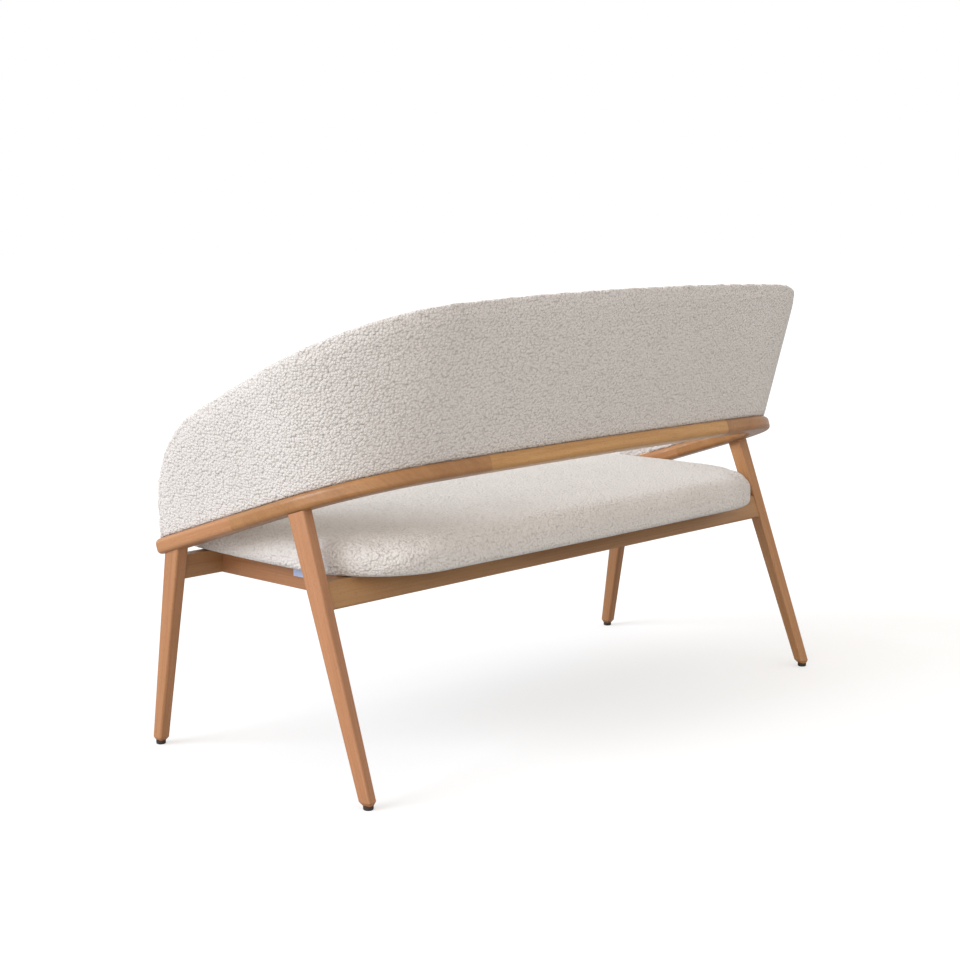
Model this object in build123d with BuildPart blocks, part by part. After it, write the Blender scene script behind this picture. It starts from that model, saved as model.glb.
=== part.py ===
from build123d import *
import math
import os

# A two-seat sofa: four leaning tapered legs carry a flat seat frame and, above it, a bent
# beech rail that slopes down from the back to the arm ends. An upholstered shell stands on
# the rail and wraps the seat, which is a separate padded board screwed to the seat frame.
# Millimetres. +Z is up, the sitter faces -Y, and +X is the sitter's left.

os.makedirs("parts", exist_ok=True)

# ---- Bent rail: a U of tangent arcs in a sloping plane -------------------------------
rail_slope = 18.2  # degrees, down towards the front
rail_height = 433.5  # underside above the floor, over the origin
rail_half_width = 641.0
rail_rear = 254.0
rail_front = -275.0
rail_thickness = 27.0
rail_width = 50.0
rail_back_radius = 4380.0
rail_bend_radius = 211.0
rail_side_radius = 4040.0
rail_top_round = 9.0
rail_bottom_round = 8.5
rail_end_round = 20.0
back_joint_x = 332.0  # glue joint between the back piece and each bend
arm_joint_y = -69.0  # glue joint between each bend and its arm piece

# ---- Legs ----------------------------------------------------------------------------
rear_leg_top_y = 69.0
rear_foot_shift_x = 11.0
rear_foot_shift_y = 169.0
rear_leg_set_in = 4.5  # outer face behind the rail's outer edge
front_leg_top_y = -237.0
front_foot_shift_x = 4.0
front_foot_shift_y = -55.0
front_leg_set_in = 7.5
leg_spare = 0.1  # of its length, cut off along the underside of the rail
leg_top_along = 37.5  # along the rail
leg_top_across = 25.5
leg_foot_along = 23.5
leg_foot_across = 20.5
leg_edge_round = 4.5
foot_bevel = 4.0
foot_bevel_height = 6.0

# ---- Glides --------------------------------------------------------------------------
glide_diameter = 17.0
glide_height = 7.0
glide_round = 2.0
pin_diameter = 4.0
pin_length = 22.0
pin_head = 3.0  # the part of the pin inside the glide

# ---- Seat frame ----------------------------------------------------------------------
frame_bottom = 303.0
frame_height = 44.0
seat_rail_thickness = 22.0
side_rail_half_span = 525.0  # to the outer faces of the side rails
rail_edge_round = 3.0
block_leg = 62.0
block_drop = 8.0  # top of a block below the top of the rails
block_height = 30.0
block_hole = 20.0  # from the corner to the seat screw, both ways
block_screw_offset = 37.0  # from the corner, along the rail
block_screw_rise = 6.0  # one screw above the middle of the block, one below

# ---- Seat ----------------------------------------------------------------------------
seat_half_width = 582.0
seat_rear = 219.0
seat_front = -296.0
seat_widest = -42.0
seat_back_radius = 20500.0
seat_bend_radius = 177.0
seat_side_radius = 2460.0
seat_front_bow = 8.0
seat_front_corner = 24.0
seat_inner_corner = 12.0  # the tightest corner of the board and the lining
seat_thickness = 50.0
seat_edge_round = 22.0
board_set_in = 14.0
board_thickness = 12.0
cover_thickness = 2.0
cover_turn_under = 34.0
cross_rear_screw_y = 22.0  # the two seat screws in the cross rail
cross_front_screw_y = -133.0
seat_screw_end_gap = 2.0  # board left above the tip of a seat screw

# ---- Back ----------------------------------------------------------------------------
back_height = 809.0
back_set_in = 8.0  # outer cover behind the rail's outer edge
outer_flare = 14.3  # degrees from upright
inner_flare = 9.0
outer_pad_thickness = 6.0
shell_thickness = 10.0
back_base_thickness = 36.0  # over everything, where it stands on the rail
arm_top_slope = 25.5  # degrees
arm_top_level_y = 298.0  # behind this the top of the back is level
arm_front_lean = 12.4  # degrees from upright
arm_front_set_in = 0.0
arm_front_round = 280.0
back_top_blend = 45.0
seam_drop = 10.0  # from the top edge to the seam of the outer panel

# ---- Fastenings ----------------------------------------------------------------------
dowel_diameter = 10.0
small_dowel_diameter = 8.0
dowel_depth = 20.0
small_dowel_depth = 18.0
lower_dowel_height = 10.0  # above the bottom of the seat rails
upper_dowel_height = 24.0
dowel_play = 0.1  # radial
dowel_end_gap = 1.0
screw_diameter = 4.5
screw_head_diameter = 9.0
screw_head_height = 3.5
screw_play = 0.25
fixing_block_length = 56.0
fixing_block_height = 30.0
fixing_screw_depth = 15.0
fixing_screw_recess = 8.0
fixing_screw_edge = 1.0  # wood between the screw and the plywood shell
block_screw_reach = 16.0  # in the rail
block_screw_grip = 18.6  # in the block
leg_dowel_reach = 14.0  # of a seat-rail dowel past the inner face of the leg
side_dowel_reach = 13.2  # of a side-rail dowel in the end rails
back_screw_x = 270.0  # the outer two of the three screws along the back
tag_length = 24.0
tag_y = -26.0
tag_drop = 22.0
tag_thickness = 1.0
tag_gap = 1.5  # from the side rail

# ---- Values worked out from the sizes ------------------------------------------------
slope_sin = math.sin(math.radians(rail_slope))
slope_cos = math.cos(math.radians(rail_slope))
rail_up = Vector(0, -slope_sin, slope_cos)
rail_underside = Plane(origin=(0, 0, rail_height), x_dir=(1, 0, 0), z_dir=rail_up)
rail_top = rail_underside.offset(rail_thickness)
frame_top = frame_bottom + frame_height
seat_bottom = frame_top
board_bottom = seat_bottom + cover_thickness
board_top = board_bottom + board_thickness
far = 3 * rail_half_width  # longer than anything it cuts


class Bow:
    """A U outline of tangent arcs: a bowed back, two bends and two bowed sides."""

    def __init__(self, half_width, rear, widest, back_radius, bend_radius, side_radius):
        self.back = (0.0, rear - back_radius, back_radius)
        self.side = (half_width - side_radius, widest, side_radius)
        to_back = back_radius - bend_radius
        to_side = side_radius - bend_radius
        dx = self.side[0] - self.back[0]
        dy = self.side[1] - self.back[1]
        gap = math.hypot(dx, dy)
        along = (to_back**2 - to_side**2 + gap**2) / (2 * gap)
        away = math.sqrt(to_back**2 - along**2)
        bend_x = self.back[0] + (dx * along + dy * away) / gap
        bend_y = self.back[1] + (dy * along - dx * away) / gap
        self.bend = (bend_x, bend_y, bend_radius)
        self.back_end = math.atan2(bend_y - self.back[1], bend_x - self.back[0])
        self.bend_end = math.atan2(bend_y - self.side[1], bend_x - self.side[0])

    def point(self, arc, inset, angle):
        x, y, radius = arc
        return (x + (radius - inset) * math.cos(angle), y + (radius - inset) * math.sin(angle))

    def arc(self, arc, inset, start, end):
        middle = (start + end) / 2
        return [self.point(arc, inset, angle) for angle in (start, middle, end)]

    def arcs(self, inset, front):
        """Five arcs as (start, middle, end), from the right arm round to the left arm."""
        side_end = math.asin((front - self.side[1]) / (self.side[2] - inset))
        bend = self.arc(self.bend, inset, self.back_end, self.bend_end)
        side = self.arc(self.side, inset, self.bend_end, side_end)
        back = self.arc(self.back, inset, math.pi - self.back_end, self.back_end)
        opposite = [[(-x, y) for x, y in reversed(points)] for points in (side, bend)]
        return opposite + [back, bend, side]

    def at(self, y, inset):
        """The point of the left half at this y, and the direction that its outside faces."""
        bend_end_y = self.point(self.bend, inset, self.bend_end)[1]
        arc = self.bend if y > bend_end_y else self.side
        angle = math.asin((y - arc[1]) / (arc[2] - inset))
        return self.point(arc, inset, angle), angle


rail_bow = Bow(
    rail_half_width,
    rail_rear / slope_cos,
    rail_front / slope_cos - rail_end_round,
    rail_back_radius,
    rail_bend_radius,
    rail_side_radius,
)
seat_bow = Bow(
    seat_half_width, seat_rear, seat_widest, seat_back_radius, seat_bend_radius, seat_side_radius
)


def rod(start, direction, length, diameter):
    """A round bar from a point, along a direction."""
    with BuildPart() as bar:
        with BuildSketch(Plane(origin=start, z_dir=direction)):
            Circle(diameter / 2)
        extrude(amount=length)
    return bar.part


def screw(tip, direction, length):
    """A plain screw: its head lies against the surface, its shank runs back to the tip."""
    with BuildPart() as one:
        add(rod(tip, direction, length, screw_diameter))
        add(rod(tip + direction * length, direction, screw_head_height, screw_head_diameter))
    return one.part


def group(solids):
    """Separate identical solids kept together as one node."""
    with BuildPart() as several:
        for solid in solids:
            add(solid)
    return several.part


def across(part):
    """The same piece on the other side of the sofa."""
    with BuildPart() as opposite:
        add(part)
        mirror(about=Plane.YZ, mode=Mode.REPLACE)
    return opposite.part


def save(part, label):
    part.label = label
    export_step(part, f"parts/{label}.step")


# ---- Dowels and screws of the bent rail ----------------------------------------------
rail_middle = rail_underside.offset(rail_thickness / 2)
rail_along = Vector(0, slope_cos, slope_sin)  # up the slope, square to X


def joint_pins(diameter, half_length):
    """Two dowels across each of the four glue joints of the bent rail."""
    pins = []
    spread = rail_width / 4
    for side in (-1, 1):
        for step in (-spread, spread):
            (x, y), _ = rail_bow.at(arm_joint_y / slope_cos, rail_width / 2 + step)
            centre = rail_middle.from_local_coords((side * x, y, 0))
            pins.append(rod(centre - rail_along * half_length, rail_along, 2 * half_length, diameter))
            radius = rail_back_radius - rail_width / 2 - step
            y = rail_bow.back[1] + math.sqrt(radius**2 - back_joint_x**2)
            centre = rail_middle.from_local_coords((side * back_joint_x, y, 0))
            start = centre - Vector(side * half_length, 0, 0)
            pins.append(rod(start, Vector(side, 0, 0), 2 * half_length, diameter))
    return pins


def leg_top(y, set_in):
    """Where a left leg's centre line meets the rail's underside, and the way it faces."""
    (x, v), angle = rail_bow.at(y / slope_cos, set_in + leg_top_across / 2)
    return rail_underside.from_local_coords((x, v, 0)), angle


rear_top, rear_turn = leg_top(rear_leg_top_y, rear_leg_set_in)
front_top, front_turn = leg_top(front_leg_top_y, front_leg_set_in)
rear_foot = Vector(rear_top.X + rear_foot_shift_x, rear_top.Y + rear_foot_shift_y, 0)
front_foot = Vector(front_top.X + front_foot_shift_x, front_top.Y + front_foot_shift_y, 0)


def leg_pins(diameter, half_length):
    """A dowel between each leg and the rail, square to the rail."""
    pins = []
    for top in (rear_top, front_top):
        for side in (-1, 1):
            centre = Vector(side * top.X, top.Y, top.Z)
            pins.append(rod(centre - rail_up * half_length, rail_up, 2 * half_length, diameter))
    return pins


def fixing_points():
    """Places round the rail where a screw from below holds the back: (point, facing angle)."""
    inset = back_set_in + cover_thickness + outer_pad_thickness + shell_thickness
    inset += screw_diameter / 2 + fixing_screw_edge
    places = []
    for u in (-back_screw_x, 0.0, back_screw_x):
        radius = rail_back_radius - inset
        v = rail_bow.back[1] + math.sqrt(radius**2 - u**2)
        places.append(((u, v), math.pi / 2))
    bend_middle = (rail_bow.back_end + rail_bow.bend_end) / 2
    arm_y = (rail_front + arm_joint_y) / 2 / slope_cos
    for place, angle in (
        (rail_bow.point(rail_bow.bend, inset, bend_middle), bend_middle),
        rail_bow.at(arm_y, inset),
    ):
        places.append((place, angle))
        places.append(((-place[0], place[1]), math.pi - angle))
    return places


def fixing_screws(play):
    """Screws up through the rail; with play they are the holes, open below."""
    cuts = []
    length = rail_thickness - fixing_screw_recess + fixing_screw_depth
    for (u, v), _ in fixing_points():
        tip = rail_underside.from_local_coords((u, v, fixing_screw_recess + length))
        down = rail_up * -1
        if play:
            cuts.append(rod(tip + rail_up * play, down, length + play, screw_diameter + 2 * play))
            mouth = rail_underside.from_local_coords((u, v, fixing_screw_recess))
            cuts.append(rod(mouth, down, 2 * rail_thickness, screw_head_diameter + 2 * play))
        else:
            cuts.append(screw(tip, down, length))
    return cuts


def fixing_plugs():
    """Wood plugs that close the screw holes under the rail."""
    plugs = []
    height = fixing_screw_recess - screw_head_height - dowel_play
    for (u, v), _ in fixing_points():
        start = rail_underside.from_local_coords((u, v, 0))
        plugs.append(rod(start, rail_up, height, screw_head_diameter))
    return plugs


def bent_rail():
    """The whole U of the rail, before it is cut into its five glued pieces."""
    front = rail_front / slope_cos
    outside = rail_bow.arcs(0, front)
    inside = rail_bow.arcs(rail_width, front)
    with BuildPart() as rail:
        with BuildSketch(rail_underside) as face:
            with BuildLine():
                for arc in outside + inside:
                    ThreePointArc(*arc)
                Line(outside[0][0], inside[0][0])
                Line(outside[-1][-1], inside[-1][-1])
            make_face()
            ends = face.vertices().group_by(Axis.Y)[0]
            fillet(ends, rail_end_round)
        extrude(amount=rail_thickness)
        levels = rail.faces().filter_by(Axis((0, 0, 0), rail_up)).sort_by(Axis((0, 0, 0), rail_up))
        bottom_edges = levels[0].edges()
        fillet(levels[-1].edges(), rail_top_round)
        fillet(bottom_edges, rail_bottom_round)
        for pin in joint_pins(dowel_diameter, dowel_depth + dowel_end_gap):
            add(pin, mode=Mode.SUBTRACT)
        for pin in leg_pins(dowel_diameter, dowel_depth + dowel_end_gap):
            add(pin, mode=Mode.SUBTRACT)
        for hole in fixing_screws(screw_play):
            add(hole, mode=Mode.SUBTRACT)
    return rail.part


whole_rail = bent_rail()
back_joint = Plane(origin=(back_joint_x, 0, 0), z_dir=(1, 0, 0))
arm_joint_point = rail_underside.from_local_coords((0, arm_joint_y / slope_cos, 0))
arm_joint = Plane(origin=arm_joint_point, z_dir=rail_along)

with BuildPart() as back_rail_centre:
    add(whole_rail)
    split(bisect_by=back_joint, keep=Keep.BOTTOM)
    split(bisect_by=Plane(origin=(-back_joint_x, 0, 0), z_dir=(1, 0, 0)), keep=Keep.TOP)
save(back_rail_centre.part, "back_rail_centre")

with BuildPart() as corner_rail:
    add(whole_rail)
    split(bisect_by=back_joint, keep=Keep.TOP)
    split(bisect_by=arm_joint, keep=Keep.TOP)
save(corner_rail.part, "corner_rail_left")
save(across(corner_rail.part), "corner_rail_right")

with BuildPart() as arm_rail:
    add(whole_rail)
    split(bisect_by=arm_joint, keep=Keep.BOTTOM)
    split(bisect_by=Plane.YZ, keep=Keep.TOP)
save(arm_rail.part, "arm_rail_left")
save(across(arm_rail.part), "arm_rail_right")

save(group(joint_pins(dowel_diameter - 2 * dowel_play, dowel_depth)), "rail_joint_dowels")
save(group(leg_pins(dowel_diameter - 2 * dowel_play, dowel_depth)), "leg_top_dowels")


# ---- Legs and glides -----------------------------------------------------------------
def leg_blank(top, foot, turn):
    """A tapered leg with rounded edges and a bevelled foot, still too long at its top."""
    reach = top + (top - foot) * leg_spare
    facing = (math.cos(turn), math.sin(turn), 0)
    levels = (
        (glide_height, foot_bevel, leg_foot_across, leg_foot_along),
        (glide_height + foot_bevel_height, 0, leg_foot_across, leg_foot_along),
        (reach.Z, 0, leg_top_across, leg_top_along),
    )
    with BuildPart() as one:
        for height, bevel, wide, long in levels:
            centre = foot + (top - foot) * (height / top.Z)
            with BuildSketch(Plane(origin=centre, x_dir=facing, z_dir=(0, 0, 1))):
                RectangleRounded(wide - 2 * bevel, long - 2 * bevel, leg_edge_round - bevel / 2)
        loft(ruled=True)
    return one.part


def foot_centre(top, foot):
    """The centre of the leg's lower end."""
    return foot + (top - foot) * (glide_height / top.Z)


def leg(top, foot, turn, rail_dowels):
    """A leg cut to the slope of the rail and bored for its dowels and its glide."""
    with BuildPart() as one:
        add(leg_blank(top, foot, turn))
        split(bisect_by=rail_underside, keep=Keep.BOTTOM)
        for pin in leg_pins(dowel_diameter, dowel_depth + dowel_end_gap) + rail_dowels:
            add(pin, mode=Mode.SUBTRACT)
        bore_depth = pin_length - pin_head + dowel_end_gap
        bore_width = pin_diameter + 2 * dowel_play
        add(rod(foot_centre(top, foot), (0, 0, 1), bore_depth, bore_width), mode=Mode.SUBTRACT)
    return one.part


def glide(centre):
    """A turned plastic glide with a pin hole."""
    radius = glide_diameter / 2
    with BuildPart() as disc:
        with BuildSketch(Plane(origin=(centre.X, centre.Y, 0), x_dir=(1, 0, 0), z_dir=(0, -1, 0))):
            with Locations((radius / 2, glide_height / 2)):
                Rectangle(radius, glide_height)
        revolve(axis=Axis((centre.X, centre.Y, 0), (0, 0, 1)))
        lower_edge = disc.edges().filter_by(GeomType.CIRCLE).sort_by(Axis.Z)[0]
        fillet(lower_edge, glide_round)
        add(glide_pin(centre, dowel_play), mode=Mode.SUBTRACT)
    return disc.part


def glide_pin(centre, play):
    """The steel pin that holds a glide in its leg."""
    start = Vector(centre.X, centre.Y, glide_height - pin_head)
    return rod(start, (0, 0, 1), pin_length, pin_diameter + 2 * play)


# ---- Seat frame ----------------------------------------------------------------------
def axis_y(top, foot, z):
    """Where a leg's centre line is at height z."""
    return foot.Y + (top.Y - foot.Y) * z / top.Z


def end_rail_blank(top, foot):
    """A rail between two legs: its faces lean with the legs, its edges are level."""
    half = seat_rail_thickness / 2
    low = axis_y(top, foot, frame_bottom)
    high = axis_y(top, foot, frame_top)
    with BuildPart() as rail:
        with BuildSketch(Plane(origin=(-top.X, 0, 0), x_dir=(0, 1, 0), z_dir=(1, 0, 0))) as section:
            with BuildLine():
                Polyline(
                    (low - half, frame_bottom),
                    (low + half, frame_bottom),
                    (high + half, frame_top),
                    (high - half, frame_top),
                    close=True,
                )
            make_face()
            fillet(section.vertices().group_by(Axis.Y)[0], rail_edge_round)
        extrude(amount=2 * top.X)
    return rail.part


dowel_heights = (frame_bottom + lower_dowel_height, frame_bottom + upper_dowel_height)


def end_rail_pins(top, foot, diameter, depth):
    """Two dowels from each end of a leg-to-leg rail into the leg."""
    pins = []
    for height in dowel_heights:
        y = axis_y(top, foot, height)
        for side in (-1, 1):
            inner_face = top.X - leg_top_across / 2
            start = Vector(side * (inner_face - depth), y, height)
            pins.append(rod(start, (side, 0, 0), depth + leg_dowel_reach, diameter))
    return pins


def side_rail_pins(diameter, extra):
    """Two dowels from each end of the side rails and of the cross rail."""
    pins = []
    reach = small_dowel_depth + extra
    for x in side_rail_centres:
        for height in dowel_heights:
            for top, foot, way in ((rear_top, rear_foot, -1), (front_top, front_foot, 1)):
                face = axis_y(top, foot, height) + way * seat_rail_thickness / 2
                start = Vector(x, face - way * (side_dowel_reach + extra), height)
                pins.append(rod(start, (0, way, 0), side_dowel_reach + extra + reach, diameter))
    return pins


side_rail_centres = [
    side_rail_half_span - seat_rail_thickness / 2,
    0.0,
    -side_rail_half_span + seat_rail_thickness / 2,
]
bore = small_dowel_diameter
dowel = small_dowel_diameter - 2 * dowel_play
rear_pin_bores = end_rail_pins(rear_top, rear_foot, bore, dowel_depth + dowel_end_gap)
front_pin_bores = end_rail_pins(front_top, front_foot, bore, dowel_depth + dowel_end_gap)

rear_leg = leg(rear_top, rear_foot, rear_turn, rear_pin_bores)
front_leg = leg(front_top, front_foot, 0.0, front_pin_bores)
save(rear_leg, "rear_leg_left")
save(across(rear_leg), "rear_leg_right")
save(front_leg, "front_leg_left")
save(across(front_leg), "front_leg_right")

glide_centres = {
    "rear": foot_centre(rear_top, rear_foot),
    "front": foot_centre(front_top, front_foot),
}
for place, centre in glide_centres.items():
    save(glide(centre), f"{place}_glide_left")
    save(across(glide(centre)), f"{place}_glide_right")
pins = [glide_pin(centre, 0) for centre in glide_centres.values()]
save(group(pins + [across(pin) for pin in pins]), "glide_pins")

rear_leg_blank = leg_blank(rear_top, rear_foot, rear_turn)
front_leg_blank = leg_blank(front_top, front_foot, 0.0)
leg_blanks = [rear_leg_blank, across(rear_leg_blank), front_leg_blank, across(front_leg_blank)]
side_bores = side_rail_pins(bore, dowel_end_gap)


def end_rail(top, foot, pin_bores):
    with BuildPart() as rail:
        add(end_rail_blank(top, foot))
        for cut in leg_blanks + pin_bores + side_bores:
            add(cut, mode=Mode.SUBTRACT)
    return rail.part


rear_seat_rail = end_rail(rear_top, rear_foot, rear_pin_bores)
front_seat_rail = end_rail(front_top, front_foot, front_pin_bores)
end_rails = [rear_seat_rail, front_seat_rail]
end_blanks = [end_rail_blank(rear_top, rear_foot), end_rail_blank(front_top, front_foot)]


def side_rail_blank(x):
    """A straight rail from the front rail to the rear rail, centred on x."""
    front = axis_y(front_top, front_foot, frame_bottom)
    rear = axis_y(rear_top, rear_foot, frame_top)
    start = Plane(origin=(x, front, frame_bottom + frame_height / 2), x_dir=(1, 0, 0), z_dir=(0, 1, 0))
    with BuildPart() as rail:
        with BuildSketch(start):
            Rectangle(seat_rail_thickness, frame_height)
        extrude(amount=rear - front)
        fillet(rail.edges().filter_by(Axis.Y).group_by(Axis.Z)[0], rail_edge_round)
        for cut in end_blanks:
            add(cut, mode=Mode.SUBTRACT)
    return rail.part


# Screws that hold the seat: one up through each corner block, two through the cross rail.
block_inner = side_rail_half_span - seat_rail_thickness


def block_corner(top, foot, way):
    """The inside corner that a block fills, at the height of the block's middle."""
    middle = frame_top - block_drop - block_height / 2
    return Vector(block_inner, axis_y(top, foot, middle) + way * seat_rail_thickness / 2, middle)


block_places = {
    "rear": (block_corner(rear_top, rear_foot, -1), -1),
    "front": (block_corner(front_top, front_foot, 1), 1),
}
seat_screw_depth = board_thickness - seat_screw_end_gap
seat_screw_points = []
for corner, way in block_places.values():
    for side in (-1, 1):
        x = side * (corner.X - block_hole)
        base = frame_top - block_drop - block_height
        seat_screw_points.append(Vector(x, corner.Y + way * block_hole, base))
cross_screw_recess = frame_height / 2
for y in (cross_rear_screw_y, cross_front_screw_y):
    seat_screw_points.append(Vector(0, y, frame_bottom + cross_screw_recess))


def seat_screw(head, play):
    """A screw driven upward into the seat board; with play it is the clearance hole."""
    tip_height = board_bottom + seat_screw_depth
    length = tip_height - head.Z
    up = Vector(0, 0, 1)
    if play:
        hole = rod(head, up, length + play, screw_diameter + 2 * play)
        mouth = rod(head - up * frame_height, up, frame_height, screw_head_diameter + 2 * play)
        return [hole, mouth]
    return [screw(Vector(head.X, head.Y, tip_height), up * -1, length)]


seat_screw_holes = [cut for head in seat_screw_points for cut in seat_screw(head, screw_play)]
seat_screws = [part for head in seat_screw_points for part in seat_screw(head, 0)]


def block_screws(play):
    """Two screws fix each corner block, one to the side rail and one to the end rail."""
    parts = []
    length = block_screw_grip + block_screw_reach
    for corner, way in block_places.values():
        for side in (-1, 1):
            sideways = Vector(side, 0, 0)
            endways = Vector(0, -way, 0)
            for into, offset, height in (
                (sideways, Vector(0, way * block_screw_offset, 0), -block_screw_rise),
                (endways, Vector(-side * block_screw_offset, 0, 0), block_screw_rise),
            ):
                at = Vector(side * corner.X, corner.Y, corner.Z + height) + offset
                tip = at + into * block_screw_reach
                if play:
                    back = into * -1
                    parts.append(rod(tip + into * play, back, length + play, screw_diameter + 2 * play))
                    head = tip - into * length
                    parts.append(rod(head, back, block_leg, screw_head_diameter + 2 * play))
                else:
                    parts.append(screw(tip, into * -1, length))
    return parts


def finished_side_rail(x):
    with BuildPart() as rail:
        add(side_rail_blank(x))
        for cut in side_bores + seat_screw_holes + block_screws(screw_play):
            add(cut, mode=Mode.SUBTRACT)
    return rail.part


def corner_block(corner, way):
    """A three-cornered block glued and screwed into an inside corner of the seat frame."""
    base = frame_top - block_drop - block_height
    with BuildPart() as block:
        with BuildSketch(Plane.XY.offset(base)):
            with BuildLine():
                Polyline(
                    (corner.X, corner.Y - way * seat_rail_thickness / 2),
                    (corner.X, corner.Y + way * block_leg),
                    (corner.X - block_leg, corner.Y),
                    (corner.X - block_leg, corner.Y - way * seat_rail_thickness / 2),
                    close=True,
                )
            make_face()
        extrude(amount=block_height)
        for cut in end_blanks + seat_screw_holes + block_screws(screw_play):
            add(cut, mode=Mode.SUBTRACT)
    return block.part


block_screw_holes = block_screws(screw_play)
for label, rail in (("rear_seat_rail", rear_seat_rail), ("front_seat_rail", front_seat_rail)):
    with BuildPart() as drilled_rail:
        add(rail)
        for hole in block_screw_holes:
            add(hole, mode=Mode.SUBTRACT)
    save(drilled_rail.part, label)

side_seat_rail = finished_side_rail(side_rail_centres[0])
save(side_seat_rail, "side_seat_rail_left")
save(across(side_seat_rail), "side_seat_rail_right")
save(finished_side_rail(0.0), "cross_seat_rail")
for place, (corner, way) in block_places.items():
    block = corner_block(corner, way)
    save(block, f"{place}_corner_block_left")
    save(across(block), f"{place}_corner_block_right")
save(group(block_screws(0)), "corner_block_screws")
save(group(seat_screws), "seat_screws")
end_dowels = end_rail_pins(rear_top, rear_foot, dowel, dowel_depth)
end_dowels += end_rail_pins(front_top, front_foot, dowel, dowel_depth)
save(group(end_dowels), "leg_rail_dowels")
save(group(side_rail_pins(dowel, 0)), "side_rail_dowels")


# ---- Seat ----------------------------------------------------------------------------
def seat_plate(inset, bottom, thickness):
    """A flat plate with the outline of the seat, set in all round."""
    front = seat_front + inset
    arcs = seat_bow.arcs(inset, front)
    with BuildPart() as plate:
        with BuildSketch(Plane.XY.offset(bottom)) as outline:
            with BuildLine():
                for arc in arcs:
                    ThreePointArc(*arc)
                ThreePointArc(arcs[-1][-1], (0, front - seat_front_bow), arcs[0][0])
            make_face()
            corner = max(seat_front_corner - inset, seat_inner_corner)
            fillet(outline.vertices().group_by(Axis.Y)[0], corner)
        extrude(amount=thickness)
    return plate.part


def seat_body(inset):
    """The whole cushion, with its edge rolled over above and below."""
    with BuildPart() as body:
        add(seat_plate(inset, seat_bottom + inset, seat_thickness - 2 * inset))
        levels = body.faces().filter_by(Plane.XY)
        fillet(levels.edges(), seat_edge_round - inset)
    return body.part


seat_envelope = seat_body(0)
seat_inside = seat_body(cover_thickness)
board_inset = board_set_in + seat_edge_round

with BuildPart() as seat_board:
    add(seat_plate(board_inset, board_bottom, board_thickness))
    for hole in seat_screw_holes:
        add(hole, mode=Mode.SUBTRACT)
save(seat_board.part, "seat_board")

with BuildPart() as seat_foam:
    add(seat_inside)
    add(seat_plate(board_inset, board_bottom, board_thickness), mode=Mode.SUBTRACT)
save(seat_foam.part, "seat_foam")

lining_inset = board_inset + cover_turn_under
with BuildPart() as seat_cover:
    add(seat_envelope)
    add(seat_inside, mode=Mode.SUBTRACT)
    add(seat_plate(lining_inset, seat_bottom, cover_thickness), mode=Mode.SUBTRACT)
save(seat_cover.part, "seat_cover")

with BuildPart() as seat_lining:
    add(seat_plate(lining_inset, seat_bottom, cover_thickness))
    for hole in seat_screw_holes:
        add(hole, mode=Mode.SUBTRACT)
save(seat_lining.part, "seat_underside_lining")

with BuildPart() as seat_tag:
    tag_x = side_rail_half_span + tag_gap + tag_thickness / 2
    with BuildSketch(Plane.XY.offset(seat_bottom)):
        with Locations((tag_x, tag_y)):
            Rectangle(tag_thickness, tag_length)
    extrude(amount=-tag_drop)
save(seat_tag.part, "seat_tag")


# ---- Back ----------------------------------------------------------------------------
rail_end_top = rail_top.from_local_coords((0, rail_front / slope_cos, 0))
wall_rise = back_height - rail_end_top.Z
outer_growth = wall_rise * math.tan(math.radians(outer_flare))
inner_growth = wall_rise * math.tan(math.radians(inner_flare))
wall_front = (rail_front - rail_thickness) / slope_cos


def flared(inset, growth):
    """A block that fills the inside of a wall: set in from the rail below, grown above."""
    with BuildPart() as block:
        for rise, offset in ((0.0, inset), (wall_rise, inset - growth)):
            lift = Plane(origin=rail_top.origin + Vector(0, 0, rise), x_dir=(1, 0, 0), z_dir=rail_up)
            arcs = rail_bow.arcs(offset, wall_front)
            with BuildSketch(lift):
                with BuildLine():
                    for arc in arcs:
                        ThreePointArc(*arc)
                    Line(arcs[-1][-1], arcs[0][0])
                make_face()
        loft(ruled=True)
    return block.part


def side_profile(inset):
    """What lies under the top line and behind the front line of the arms, seen from the side."""
    slope = math.radians(arm_top_slope)
    lean = math.radians(arm_front_lean)
    level = back_height - inset
    # the sloping line, moved square to itself
    knee_y = arm_top_level_y + inset * math.tan(slope / 2)
    front_y = rail_front + arm_front_set_in + inset / math.cos(lean)
    foot_y = front_y - rail_end_top.Z * math.tan(lean)  # where the front line meets the floor
    # where the front line meets the sloping line
    rise = (level - (knee_y - foot_y) * math.tan(slope)) / (1 - math.tan(lean) * math.tan(slope))
    brow = (foot_y + rise * math.tan(lean), rise)
    with BuildPart() as prism:
        with BuildSketch(Plane.YZ) as profile:
            with BuildLine():
                Polyline((foot_y, 0), brow, (knee_y, level), (far, level), (far, 0), close=True)
            make_face()
            corner = profile.vertices().sort_by_distance(brow)[0]
            fillet(corner, arm_front_round - inset)
            knee = profile.vertices().sort_by_distance((knee_y, level))[0]
            fillet(knee, back_top_blend)
        extrude(amount=far, both=True)
    return prism.part


def wall(outer_inset, inner_inset, trim):
    """A layer of the back between two flared surfaces, trimmed at its top and front."""
    with BuildPart() as layer:
        add(flared(outer_inset, outer_growth))
        add(flared(*inner_inset), mode=Mode.SUBTRACT)
        add(side_profile(trim), mode=Mode.INTERSECT)
    return layer.part


inner_face = back_set_in + back_base_thickness
pad_face = back_set_in + cover_thickness
shell_outer = pad_face + outer_pad_thickness
shell_inner = shell_outer + shell_thickness

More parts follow.
